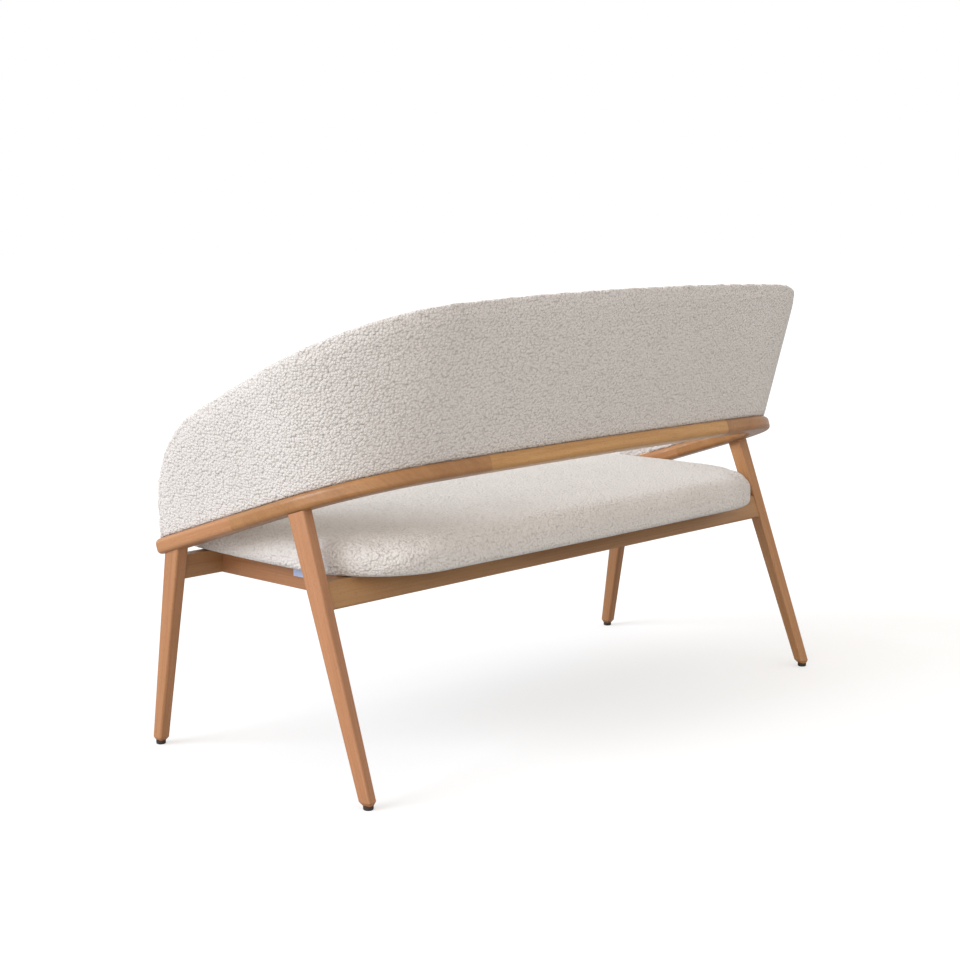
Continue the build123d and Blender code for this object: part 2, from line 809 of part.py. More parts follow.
fixing_boxes = []
for (u, v), angle in fixing_points():
    outward = Vector(math.cos(angle), math.sin(angle) * slope_cos, math.sin(angle) * slope_sin)
    base = rail_top.from_local_coords((u, v, 0))
    with BuildPart() as box:
        with BuildSketch(Plane(origin=base, x_dir=outward, z_dir=rail_up)):
            Rectangle(2 * back_base_thickness, fixing_block_length)
        extrude(amount=fixing_block_height)
    fixing_boxes.append(box.part)

with BuildPart() as back_shell:
    add(wall(shell_outer, (shell_inner, outer_growth), cover_thickness + outer_pad_thickness))
save(back_shell.part, "back_shell")

with BuildPart() as back_outer_pad:
    add(wall(pad_face, (shell_outer, outer_growth), seam_drop))
save(back_outer_pad.part, "back_outer_pad")

inner_pad = wall(shell_inner, (inner_face - cover_thickness, inner_growth), cover_thickness)
with BuildPart() as shell_cap:
    add(wall(pad_face, (shell_inner, outer_growth), cover_thickness))
    add(back_shell.part, mode=Mode.SUBTRACT)
    add(back_outer_pad.part, mode=Mode.SUBTRACT)

with BuildPart() as back_foam:
    add(inner_pad)
    add(shell_cap.part)
    for box in fixing_boxes:
        add(box, mode=Mode.SUBTRACT)
save(back_foam.part, "back_foam")

blocks = []
for box in fixing_boxes:
    with BuildPart() as fixing_block:
        add(box)
        add(inner_pad, mode=Mode.INTERSECT)
        for hole in fixing_screws(screw_play):
            add(hole, mode=Mode.SUBTRACT)
    blocks.append(fixing_block.part)
save(group(blocks), "back_fixing_blocks")

with BuildPart() as back_cover_outer:
    add(wall(back_set_in, (pad_face, outer_growth), seam_drop))
save(back_cover_outer.part, "back_cover_outer")

with BuildPart() as back_cover_inner:
    add(wall(back_set_in, (inner_face, inner_growth), 0))
    add(wall(pad_face, (inner_face - cover_thickness, inner_growth), cover_thickness), mode=Mode.SUBTRACT)
    add(back_cover_outer.part, mode=Mode.SUBTRACT)
save(back_cover_inner.part, "back_cover_inner")

save(group(fixing_screws(0)), "back_fixing_screws")
save(group(fixing_plugs()), "back_screw_plugs")
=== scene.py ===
# %% [markdown]
# # A two-seat sofa on wooden legs
# The wooden parts come finished from the CAD frame, where every leg, rail and dowel has its real
# shape. Blender adds what CAD leaves plain: the upholstery, the finishes, the light and the camera.
# The frame is loaded first, because every later piece takes its place and size from it.

# %% Load the frame
import itertools
import math

import bmesh
import bpy
import numpy as np
from mathutils import Euler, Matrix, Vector
from mathutils.bvhtree import BVHTree


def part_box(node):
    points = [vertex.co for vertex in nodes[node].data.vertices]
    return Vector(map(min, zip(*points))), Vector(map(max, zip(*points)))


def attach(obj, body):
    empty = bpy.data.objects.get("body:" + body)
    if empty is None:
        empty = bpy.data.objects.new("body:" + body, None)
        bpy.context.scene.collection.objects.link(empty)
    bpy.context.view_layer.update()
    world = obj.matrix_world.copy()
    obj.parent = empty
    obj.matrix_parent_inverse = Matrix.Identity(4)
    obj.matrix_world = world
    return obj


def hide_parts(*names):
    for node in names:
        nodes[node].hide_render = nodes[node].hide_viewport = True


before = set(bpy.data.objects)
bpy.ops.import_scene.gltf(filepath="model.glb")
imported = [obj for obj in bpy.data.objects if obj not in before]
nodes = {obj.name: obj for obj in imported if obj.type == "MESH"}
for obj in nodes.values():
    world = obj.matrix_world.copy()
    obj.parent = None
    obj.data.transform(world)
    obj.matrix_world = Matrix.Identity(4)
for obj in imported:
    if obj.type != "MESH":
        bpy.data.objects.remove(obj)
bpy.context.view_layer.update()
scene = bpy.context.scene

# %% [markdown]
# ## Camera
# The sofa is seen from behind and a little above, past its left arm. A long lens keeps the legs
# nearly parallel, as in a catalogue picture. The camera looks along a direction, so that only a
# place, a direction and a focal length are needed.

# %% Camera
camera_place = Vector((2.49553, 2.24540, 0.94982))
camera_direction = Vector((-0.72005643, -0.67705451, -0.15203924))
focal_length = 67.8

camera = bpy.data.objects.new("camera", bpy.data.cameras.new("camera"))
camera.data.lens = focal_length
camera.data.sensor_width = 36.0
camera.location = camera_place
camera.rotation_euler = camera_direction.to_track_quat("-Z", "Y").to_euler()
scene.collection.objects.link(camera)
scene.camera = camera
print("camera", round(camera_place.length, 2), "m from the origin")

# %% [markdown]
# ## Floor and light
# A catalogue picture has a white sweep and soft light. One very wide lamp stands far off on the
# side of the near arm, high up, and gives the arm and the legs a bright side and a dark side. A
# weaker one stands lower and reaches the cushion under the arm, and the weakest faces the back.
# Sun lamps with a wide angle do that, and light the floor evenly. The rest is an even, slightly
# warm sky. The sweep is lit like grey card, so that it throws little light up under the seat, and
# is seen as white paper. The Standard view transform keeps that white.

# %% Floor and light
towards_key = Vector((0.80, -0.36, 0.48))
towards_fill = Vector((0.94, 0.20, 0.22))
towards_back_fill = Vector((0.25, 0.95, 0.20))
sky_colour = (1.0, 0.955, 0.90, 1.0)
sky_strength = 0.93
white = (1.0, 1.0, 1.0, 1.0)
floor_grey = (0.46, 0.46, 0.46, 1.0)

scene.view_settings.view_transform = "Standard"


def soft_lamp(name, towards, strength, softness, colour):
    """A sun lamp as wide as a softbox: towards points at it, softness is its width in degrees."""
    lamp = bpy.data.objects.new(name, bpy.data.lights.new(name, "SUN"))
    lamp.data.angle = math.radians(softness)
    lamp.data.energy = strength
    lamp.data.color = colour
    lamp.rotation_euler = (-towards).to_track_quat("-Z", "Y").to_euler()
    scene.collection.objects.link(lamp)


soft_lamp("key_light", towards_key, 2.3, 36, (0.89, 0.96, 1.08))
soft_lamp("fill_light", towards_fill, 1.25, 60, (1.0, 0.97, 0.95))
soft_lamp("back_fill_light", towards_back_fill, 0.45, 70, (1.0, 0.98, 0.97))


def seen_or_lighting(tree, lighting, seen):
    """Mixes two shaders: one lights the scene, the other is what the camera sees directly."""
    ray = tree.nodes.new("ShaderNodeLightPath")
    either = tree.nodes.new("ShaderNodeMixShader")
    tree.links.new(ray.outputs["Is Camera Ray"], either.inputs[0])
    tree.links.new(lighting.outputs[0], either.inputs[1])
    tree.links.new(seen.outputs[0], either.inputs[2])
    return either.outputs[0]


world = bpy.data.worlds.new("studio")
scene.world = world
world.use_nodes = True
tree = world.node_tree
sky = tree.nodes["Background"]
sky.inputs["Color"].default_value = sky_colour
sky.inputs["Strength"].default_value = sky_strength
backdrop = tree.nodes.new("ShaderNodeBackground")
backdrop.inputs["Color"].default_value = white
tree.links.new(seen_or_lighting(tree, sky, backdrop), tree.nodes["World Output"].inputs["Surface"])

sweep = bpy.data.materials.new("sweep")
sweep.use_nodes = True
tree = sweep.node_tree
tree.nodes.remove(tree.nodes["Principled BSDF"])
matt = tree.nodes.new("ShaderNodeBsdfDiffuse")
matt.inputs["Color"].default_value = floor_grey
glow = tree.nodes.new("ShaderNodeEmission")
glow.inputs["Strength"].default_value = 0.52
bright = tree.nodes.new("ShaderNodeAddShader")
tree.links.new(matt.outputs[0], bright.inputs[0])
tree.links.new(glow.outputs[0], bright.inputs[1])
tree.links.new(seen_or_lighting(tree, matt, bright), tree.nodes["Material Output"].inputs["Surface"])

floor_mesh = bpy.data.meshes.new("floor")
shape = bmesh.new()
bmesh.ops.create_circle(shape, cap_ends=True, segments=96, radius=30.0)
shape.to_mesh(floor_mesh)
shape.free()
floor_mesh.materials.append(sweep)
floor = bpy.data.objects.new("floor", floor_mesh)
scene.collection.objects.link(floor)
print("sky", sky_strength, "floor", floor_grey[0])


# %% [markdown]
# ## Node helpers
# Every finish is a small network of nodes. These helpers add a node, set its values and join it
# to others in one call, so that each network below reads from top to bottom.

# %% Node helpers
def add_node(tree, kind, settings=None, **inputs):
    """A node with its settings and its inputs; an input is a value or another node's output."""
    node = tree.nodes.new(kind)
    for name, value in (settings or {}).items():
        setattr(node, name, value)
    for name, value in inputs.items():
        key = int(name[1:]) if name[0] == "i" and name[1:].isdigit() else name.replace("_", " ")
        if isinstance(value, bpy.types.NodeSocket):
            tree.links.new(value, node.inputs[key])
        else:
            node.inputs[key].default_value = value
    return node


def calculate(tree, operation, *values):
    """A Math node."""
    inputs = {f"i{place}": value for place, value in enumerate(values)}
    return add_node(tree, "ShaderNodeMath", {"operation": operation}, **inputs).outputs[0]


def blend_colours(tree, amount, first, second):
    """A colour mix: first where amount is 0, second where it is 1."""
    node = add_node(tree, "ShaderNodeMix", {"data_type": "RGBA"})
    for socket, value in ((node.inputs[0], amount), (node.inputs[6], first), (node.inputs[7], second)):
        if isinstance(value, bpy.types.NodeSocket):
            tree.links.new(value, socket)
        else:
            socket.default_value = value
    return node.outputs[2]


def spread(tree, value, low, high, to_low=0.0, to_high=1.0):
    """A value taken from one range to another, and held inside it."""
    node = add_node(tree, "ShaderNodeMapRange", None, i0=value, i1=low, i2=high, i3=to_low, i4=to_high)
    return node.outputs[0]


def new_group(name, inputs, outputs):
    """An empty node group with its sockets: lists of (name, kind, value)."""
    group = bpy.data.node_groups.new(name, "ShaderNodeTree")
    for label, kind, value in inputs:
        socket = group.interface.new_socket(label, in_out="INPUT", socket_type=kind)
        socket.default_value = value
    for label, kind in outputs:
        group.interface.new_socket(label, in_out="OUTPUT", socket_type=kind)
    given = group.nodes.new("NodeGroupInput")
    result = group.nodes.new("NodeGroupOutput")
    return group, given.outputs, result.inputs


def place_group(tree, group, **inputs):
    """A group placed in a material, with that material's own values."""
    node = tree.nodes.new("ShaderNodeGroup")
    node.node_tree = group
    for name, value in inputs.items():
        socket = node.inputs[name.replace("_", " ")]
        if isinstance(value, bpy.types.NodeSocket):
            tree.links.new(value, socket)
        else:
            socket.default_value = value
    return node.outputs


def new_material(name, roughness=0.5, **constants):
    """A material with a Principled shader; constants go straight on the shader's sockets."""
    material = bpy.data.materials.new(name)
    material.use_nodes = True
    shader = material.node_tree.nodes["Principled BSDF"]
    shader.inputs["Roughness"].default_value = roughness
    for label, value in constants.items():
        shader.inputs[label.replace("_", " ")].default_value = value
    return material, material.node_tree, shader


def raise_surface(tree, shader, height, distance):
    """A Bump node under the shader: height is a socket, distance in metres."""
    bump = add_node(tree, "ShaderNodeBump", None, Height=height, Distance=distance, Strength=1.0)
    tree.links.new(bump.outputs["Normal"], shader.inputs["Normal"])


VALUE, COLOUR, VECTOR = "NodeSocketFloat", "NodeSocketColor", "NodeSocketVector"
print("helpers ready")

# %% [markdown]
# ## Beech
# The legs and rails are steamed beech under a satin lacquer. Beech shows three things at once:
# broad soft bands of tone along the piece, fine straight lines of pores, and short darker flecks
# where the rays are cut. A picture of wood could be wrapped on, but the grain has to run along
# each piece in its own direction, so it is worked out from the place in the piece instead. The
# first group turns a place into grain coordinates, the second makes the figure from them.

# %% Grain direction group
grain_axes, given, result = new_group(
    "grain_axes",
    [("Along", VECTOR, (0, 0, 1)), ("Side", VECTOR, (1, 0, 0)), ("Board", VALUE, 0.0)],
    [("Grain", VECTOR)],
)
inside = grain_axes
place = add_node(inside, "ShaderNodeTexCoord").outputs["Object"]
third = add_node(inside, "ShaderNodeVectorMath", {"operation": "CROSS_PRODUCT"}, i0=given["Along"],
                 i1=given["Side"]).outputs[0]


def reach_along(direction):
    return add_node(inside, "ShaderNodeVectorMath", {"operation": "DOT_PRODUCT"}, i0=place,
                    i1=direction).outputs["Value"]


grain = add_node(
    inside, "ShaderNodeCombineXYZ", None,
    X=calculate(inside, "ADD", reach_along(given["Side"]), given["Board"]),
    Y=reach_along(third),
    Z=calculate(inside, "ADD", reach_along(given["Along"]), given["Board"]),
)
inside.links.new(grain.outputs[0], result["Grain"])
print("group grain_axes")

# %% Beech figure group
beech_figure, given, result = new_group(
    "beech_figure",
    [("Grain", VECTOR, (0, 0, 0)), ("Pale", COLOUR, (0.6, 0.35, 0.2, 1)),
     ("Deep", COLOUR, (0.4, 0.2, 0.1, 1)), ("Fleck", VALUE, 0.5)],
    [("Colour", COLOUR), ("Roughness", VALUE), ("Height", VALUE)],
)
inside = beech_figure


def streaks(across, along, detail, distortion=0.0):
    """Noise drawn out along the grain: so many waves per metre across and along."""
    stretched = add_node(inside, "ShaderNodeVectorMath", {"operation": "MULTIPLY"}, i0=given["Grain"],
                         i1=(across, across, along)).outputs[0]
    noise = add_node(inside, "ShaderNodeTexNoise", None, Vector=stretched, Scale=1.0, Detail=detail,
                     Distortion=distortion)
    return noise.outputs[0]


bands = streaks(38.0, 2.2, 3.0, 0.6)
lines = streaks(420.0, 9.0, 2.0)
flecks = streaks(900.0, 190.0, 1.0)
cloud = streaks(9.0, 5.0, 2.0)
tone = calculate(inside, "ADD", calculate(inside, "MULTIPLY", bands, 0.62),
                 calculate(inside, "MULTIPLY", lines, 0.38))
body = blend_colours(inside, spread(inside, tone, 0.36, 0.66), given["Pale"], given["Deep"])
body = blend_colours(inside, spread(inside, cloud, 0.3, 0.7, 0.0, 0.22), body, given["Deep"])
dark_flecks = calculate(inside, "MULTIPLY", spread(inside, flecks, 0.60, 0.68), given["Fleck"])
final = blend_colours(inside, dark_flecks, body, (0.20, 0.095, 0.045, 1.0))
inside.links.new(final, result["Colour"])
inside.links.new(spread(inside, lines, 0.3, 0.7, 0.36, 0.50), result["Roughness"])
inside.links.new(calculate(inside, "SUBTRACT", calculate(inside, "MULTIPLY", lines, 0.7),
                           calculate(inside, "MULTIPLY", dark_flecks, 0.5)), result["Height"])
print("group beech_figure")

# %% [markdown]
# Each board has its own tone, as the pieces of a real frame are sawn from different planks: the
# middle of the back rail is a little yellower than its bends, and the arms are pinker. The far
# front leg is made darker than its own tone as painted shade, for the shadow it stands in. The
# grain runs straight along each piece, which is found as the longest direction of its own points.
# The two bends are sawn from thick boards across the curve, so there the grain runs slantwise.


# %% Beech for each piece
def long_direction(name):
    """The direction in which a CAD piece is longest."""
    points = np.array([v.co for v in nodes[name].data.vertices])
    spans = np.linalg.svd(points - points.mean(axis=0), full_matrices=False)[2]
    return Vector(spans[0]) * (1 if spans[0][np.argmax(np.abs(spans[0]))] > 0 else -1)


beech_pale = np.array([0.425, 0.216, 0.093])
beech_deep = np.array([0.322, 0.147, 0.055])
pink = np.array([1.03, 0.97, 1.00])
yellow = np.array([1.16, 1.24, 0.98])
board_number = 0


def beech(name, tint=(1, 1, 1), fleck=0.45, direction=None):
    """Puts a board of beech on a CAD piece."""
    global board_number
    board_number += 1
    material, tree, shader = new_material(f"beech_{name}", Coat_Weight=0.18, Coat_Roughness=0.22,
                                          Specular_IOR_Level=0.42)
    along = direction or long_direction(name)
    side = along.cross(Vector((0, 0, 1)) if abs(along.z) < 0.9 else Vector((1, 0, 0))).normalized()
    grain = place_group(tree, grain_axes, Along=along, Side=side, Board=board_number * 0.37)
    pale = (*(beech_pale * tint), 1.0)
    deep = (*(beech_deep * tint), 1.0)
    figure = place_group(tree, beech_figure, Grain=grain["Grain"], Pale=pale, Deep=deep, Fleck=fleck)
    tree.links.new(figure["Colour"], shader.inputs["Base Color"])
    tree.links.new(figure["Roughness"], shader.inputs["Roughness"])
    raise_surface(tree, shader, figure["Height"], 0.00025)
    wear_material(name, material)
    return material


def wear_material(name, material):
    """Every slot of a CAD piece takes the material."""
    for place in range(len(nodes[name].data.materials)):
        nodes[name].data.materials[place] = material


board_tints_and_shade = {
    "back_rail_centre": yellow,
    "corner_rail_left": (0.80, 0.76, 0.62), "corner_rail_right": (0.76, 0.70, 0.52),
    "arm_rail_left": (1.0, 0.95, 0.96), "arm_rail_right": (0.92, 0.86, 0.78),
    "rear_leg_left": (0.96, 0.88, 0.90), "rear_leg_right": (1.0, 0.98, 0.92),
    # front_leg_right is tinted darker as painted shade, for the shadow the far front leg stands in.
    "front_leg_left": pink * 0.94, "front_leg_right": (0.78, 0.74, 0.70),
    "rear_seat_rail": (0.84, 0.86, 0.76), "front_seat_rail": (0.86, 0.86, 0.80),
    "side_seat_rail_left": (0.86, 0.78, 0.80), "side_seat_rail_right": (0.88, 0.86, 0.80),
    "cross_seat_rail": (0.95, 0.97, 0.9),
}
cut_across = {
    "corner_rail_left": Vector((-0.58, 0.58, -0.57)),
    "corner_rail_right": Vector((0.58, 0.58, -0.57)),
}
for name, tint in board_tints_and_shade.items():
    beech(name, tint, direction=cut_across.get(name))
wear_material("back_screw_plugs", beech("back_screw_plugs", (0.97, 0.96, 0.9), 0.6, Vector((1, 0, 0))))
print("beech boards:", board_number)

# %% [markdown]
# ## Other hard finishes
# The corner blocks and dowels are raw beech, the board under the seat and the shell in the back
# are birch plywood, the glides are moulded nylon and the screws are zinc plated. Most of it is
# out of sight, yet each has its own finish for when the sofa is turned over or taken apart.


# %% Raw wood, plywood, nylon and zinc
def raw_wood(name, pale, deep, fleck):
    material, tree, shader = new_material(name, Specular_IOR_Level=0.3)
    grain = place_group(tree, grain_axes, Along=(0, 0, 1), Side=(1, 0, 0))
    figure = place_group(tree, beech_figure, Grain=grain["Grain"], Pale=pale, Deep=deep, Fleck=fleck)
    tree.links.new(figure["Colour"], shader.inputs["Base Color"])
    tree.links.new(spread(tree, figure["Roughness"], 0.36, 0.50, 0.6, 0.8), shader.inputs["Roughness"])
    raise_surface(tree, shader, figure["Height"], 0.0005)
    return material


def plywood():
    """Birch plies: light and dark bands a little over a millimetre thick, seen at the edges."""
    material, tree, shader = new_material("birch_plywood", 0.7)
    place = add_node(tree, "ShaderNodeTexCoord").outputs["Object"]
    plies = add_node(tree, "ShaderNodeTexWave", {"bands_direction": "Z"}, Vector=place, Scale=230.0,
                     Distortion=1.5, Detail=1.0)
    bands = spread(tree, plies.outputs[0], 0.2, 0.8)
    colour = blend_colours(tree, bands, (0.62, 0.46, 0.29, 1.0), (0.44, 0.29, 0.16, 1.0))
    tree.links.new(colour, shader.inputs["Base Color"])
    raise_surface(tree, shader, bands, 0.0002)
    return material


def nylon():
    """Dark brown moulded nylon with a fine spark-eroded grain."""
    material, tree, shader = new_material("glide_nylon", 0.55, Specular_IOR_Level=0.4)
    place = add_node(tree, "ShaderNodeTexCoord").outputs["Object"]
    fine = add_node(tree, "ShaderNodeTexNoise", None, Vector=place, Scale=1800.0, Detail=2.0).outputs[0]
    broad = add_node(tree, "ShaderNodeTexNoise", None, Vector=place, Scale=90.0).outputs[0]
    colour = blend_colours(tree, broad, (0.016, 0.012, 0.010, 1.0), (0.040, 0.030, 0.024, 1.0))
    tree.links.new(colour, shader.inputs["Base Color"])
    tree.links.new(spread(tree, broad, 0.3, 0.7, 0.45, 0.62), shader.inputs["Roughness"])
    raise_surface(tree, shader, fine, 0.0001)
    return material


def zinc():
    """Bright zinc plate with faint cloudy patches."""
    material, tree, shader = new_material("zinc_plate", 0.35, Metallic=1.0)
    place = add_node(tree, "ShaderNodeTexCoord").outputs["Object"]
    patches = add_node(tree, "ShaderNodeTexNoise", None, Vector=place, Scale=400.0, Detail=3.0).outputs[0]
    colour = blend_colours(tree, patches, (0.50, 0.50, 0.49, 1.0), (0.72, 0.72, 0.70, 1.0))
    tree.links.new(colour, shader.inputs["Base Color"])
    tree.links.new(spread(tree, patches, 0.3, 0.7, 0.28, 0.48), shader.inputs["Roughness"])
    return material


finishes = {
    "sawn_beech": raw_wood("sawn_beech", (0.62, 0.43, 0.27, 1), (0.50, 0.31, 0.17, 1), 0.5),
    "dowel_beech": raw_wood("dowel_beech", (0.68, 0.49, 0.32, 1), (0.56, 0.37, 0.21, 1), 0.3),
    "plywood": plywood(),
    "nylon": nylon(),
    "zinc": zinc(),
}
worn_by = {
    "sawn_beech": [name for name in nodes if "block" in name and "screws" not in name],
    "dowel_beech": [name for name in nodes if "dowels" in name],
    "plywood": ["seat_board", "back_shell"],
    "nylon": [name for name in nodes if "_glide_" in name],
    "zinc": [name for name in nodes if name == "glide_pins" or name.endswith("_screws")],
}
for finish, names in worn_by.items():
    for name in names:
        wear_material(name, finishes[finish])
    print(finish, "on", len(names), "pieces")

# %% [markdown]
# ## Fabric finishes
# The cover is a looped wool boucle: the yarn stands up in small nubs about 6 mm across, which are
# modelled in the mesh further down, and the finer loops on them are left to a bump.
# The mesh carries a value called nub, 0 in the hollows and 1 on the tops, and the finish paints
# shade into the hollows from it: they are painted a little darker and warmer. The lining and the
# tag are flat woven cloth, made by one shared weave group.

# %% Boucle
loops, given, result = new_group(
    "boucle_loops",
    [("Top", COLOUR, (0.7, 0.7, 0.7, 1)), ("Hollow", COLOUR, (0.4, 0.4, 0.4, 1))],
    [("Colour", COLOUR), ("Height", VALUE)],
)
inside = loops
place = add_node(inside, "ShaderNodeTexCoord").outputs["Object"]
nub = add_node(inside, "ShaderNodeAttribute", {"attribute_name": "nub"}).outputs["Fac"]
twist = add_node(inside, "ShaderNodeTexNoise", None, Vector=place, Scale=260.0,
                 Detail=1.0).outputs["Color"]
bent = add_node(inside, "ShaderNodeMix", {"data_type": "VECTOR"}, i0=0.0016, i4=place,
                i5=twist).outputs[1]
knots = add_node(inside, "ShaderNodeTexVoronoi", {"feature": "SMOOTH_F1"}, Vector=bent, Scale=225.0,
                 Smoothness=0.08, Randomness=0.85).outputs["Distance"]
fine = add_node(inside, "ShaderNodeTexVoronoi", {"feature": "SMOOTH_F1"}, Vector=bent, Scale=520.0,
                Smoothness=0.5).outputs["Distance"]
strands = add_node(inside, "ShaderNodeTexNoise", None, Vector=bent, Scale=1500.0, Detail=2.0).outputs[0]
drift = add_node(inside, "ShaderNodeTexNoise", None, Vector=place, Scale=7.0, Detail=2.0).outputs[0]
rough_yarn = calculate(inside, "SUBTRACT", calculate(inside, "MULTIPLY", strands, 0.05),
                       calculate(inside, "MULTIPLY", fine, 0.12))
domes = calculate(inside, "MULTIPLY", calculate(inside, "MULTIPLY", knots, knots), 1.5)
loop_height = calculate(inside, "SUBTRACT", rough_yarn, domes)
# Painted shade: depth darkens the hollows by the nub value on the mesh, between darkens the creases away
# from each knot, and shade takes the stronger of the two. drift is tone that differs at random.
depth = calculate(inside, "SUBTRACT", 0.6, spread(inside, nub, 0.05, 0.60, 0.0, 0.6))
between = spread(inside, knots, 0.42, 0.85, 0.0, 0.55)
shade = calculate(inside, "MAXIMUM", depth, between)
colour = blend_colours(inside, shade, given["Top"], given["Hollow"])
colour = blend_colours(inside, spread(inside, drift, 0.35, 0.65, 0.0, 0.10), colour, given["Hollow"])
inside.links.new(colour, result["Colour"])
inside.links.new(loop_height, result["Height"])

boucle, tree, shader = new_material("boucle_fabric", 0.95, Sheen_Weight=0.25, Sheen_Roughness=0.55,
                                    Specular_IOR_Level=0.15)
# The second colour is the painted shade of the hollows between the nubs.
yarn = place_group(tree, loops, Top=(0.620, 0.586, 0.556, 1.0), Hollow=(0.430, 0.388, 0.348, 1.0))
tree.links.new(yarn["Colour"], shader.inputs["Base Color"])
raise_surface(tree, shader, yarn["Height"], 0.0017)
print("boucle ready")

# %% Weave group, lining and tag
weave, given, result = new_group(
    "plain_weave",
    [("Threads", VALUE, 1000.0), ("Thread", COLOUR, (0.5, 0.5, 0.5, 1)),
     ("Gap", COLOUR, (0.1, 0.1, 0.1, 1))],
    [("Colour", COLOUR), ("Height", VALUE)],
)
inside = weave
place = add_node(inside, "ShaderNodeTexCoord").outputs["Object"]
way = add_node(inside, "ShaderNodeSeparateXYZ", None, Vector=place).outputs


def thread(position):
    turn = calculate(inside, "MULTIPLY", position, given["Threads"])
    return calculate(inside, "MULTIPLY_ADD", calculate(inside, "SINE", turn), 0.5, 0.5)


warp = thread(way["X"])
weft = thread(calculate(inside, "ADD", way["Y"], way["Z"]))
crossing = calculate(inside, "MAXIMUM", warp, weft)
inside.links.new(crossing, result["Height"])
inside.links.new(blend_colours(inside, crossing, given["Gap"], given["Thread"]), result["Colour"])


def woven(name, threads, thread_colour, gap_colour, roughness):
    material, tree, shader = new_material(name, roughness, Specular_IOR_Level=0.2)
    cloth = place_group(tree, weave, Threads=threads, Thread=thread_colour, Gap=gap_colour)
    tree.links.new(cloth["Colour"], shader.inputs["Base Color"])
    raise_surface(tree, shader, cloth["Height"], 0.0002)
    return material


wear_material("seat_underside_lining",
              woven("black_lining", 3200.0, (0.020, 0.020, 0.021, 1), (0.006, 0.006, 0.006, 1), 0.9))
wear_material("seat_tag",
              woven("blank_tag", 5200.0, (0.50, 0.58, 0.76, 1), (0.30, 0.38, 0.60, 1), 0.75))
print("lining and tag ready")

# %% [markdown]
# ## Making upholstery from the frame
# Upholstery starts as the plain solid that the frame holds in its place. A voxel remesh gives
# it an even skin of small squares, the Cloth modifier blows it up against its own stitching for
# twenty frames, and one subdivision makes it smooth. A limit on how far each point may move
# keeps it in its place. The nubs of the boucle come last, because they are finer than the squares
# that the simulation can carry.


# %% Copy and remesh
def joined(name, sources):
    """A new piece made from copies of CAD solids."""
    mesh = bpy.data.meshes.new(name)
    shape = bmesh.new()
    for source in sources:
        shape.from_mesh(nodes[source].data)
    bmesh.ops.remove_doubles(shape, verts=shape.verts, dist=1e-6)
    shape.to_mesh(mesh)
    shape.free()
    piece = bpy.data.objects.new(name, mesh)
    scene.collection.objects.link(piece)
    return piece


def applied(piece):
    """Makes the result of the piece's modifiers its own mesh."""
    graph = bpy.context.evaluated_depsgraph_get()
    graph.update()
    mesh = bpy.data.meshes.new_from_object(piece.evaluated_get(graph))
    old = piece.data
    piece.modifiers.clear()
    piece.data = mesh
    bpy.data.meshes.remove(old)
    mesh.name = piece.name
    return piece


grid_turn = Euler((0.45, 0.35, 0.60)).to_matrix().to_4x4()


def remeshed(piece, voxel):
    """An even skin. The grid stands askew to the piece, so a straight edge gets no long steps."""
    piece.data.transform(grid_turn)
    skin = piece.modifiers.new("skin", "REMESH")
    skin.mode = "VOXEL"
    skin.voxel_size = voxel
    applied(piece).data.transform(grid_turn.inverted())
    return piece


print("remesh helpers ready")


# %% Points and smoothing
def points_of(piece):
    points = np.empty(len(piece.data.vertices) * 3)
    piece.data.vertices.foreach_get("co", points)
    return points.reshape(-1, 3)


def place_points(piece, points):
    piece.data.vertices.foreach_set("co", np.ascontiguousarray(points, dtype=np.float32).ravel())
    piece.data.update()


def facing_of(piece):
    """The outward direction at each point."""
    facing = np.empty(len(piece.data.vertices) * 3, dtype=np.float32)
    piece.data.vertex_normals.foreach_get("vector", facing)
    return facing.reshape(-1, 3).astype(float)


def smoothed(piece, rounds, hold=None):
    """Evens the skin out, as cloth does over foam; held points stay where they are."""
    edges = np.empty(len(piece.data.edges) * 2, dtype=np.int64)
    piece.data.edges.foreach_get("vertices", edges)
    edges = edges.reshape(-1, 2)
    points = points_of(piece)
    count = np.bincount(edges.ravel(), minlength=len(points))[:, None]
    start = points.copy()
    for _ in range(rounds):
        total = np.empty_like(points)
        for axis in range(3):
            total[:, axis] = np.bincount(edges[:, 0], points[edges[:, 1], axis], len(points))
            total[:, axis] += np.bincount(edges[:, 1], points[edges[:, 0], axis], len(points))
        points = 0.5 * points + 0.5 * total / count
        if hold is not None:
            points[hold] = start[hold]
    place_points(piece, points)


def distance_to(piece, name, reach):
    """How far each point of the piece is from a CAD piece; reach is the most that it looks."""
    mesh = nodes[name].data
    tree = BVHTree.FromPolygons([v.co for v in mesh.vertices], [p.vertices for p in mesh.polygons])
    found = (tree.find_nearest(point, reach)[3] for point in points_of(piece))
    return np.array([reach if distance is None else distance for distance in found])


print("point helpers ready")


# %% Cloth, subdivision and thinning
pressure = 4.0
cloth_frames = 20


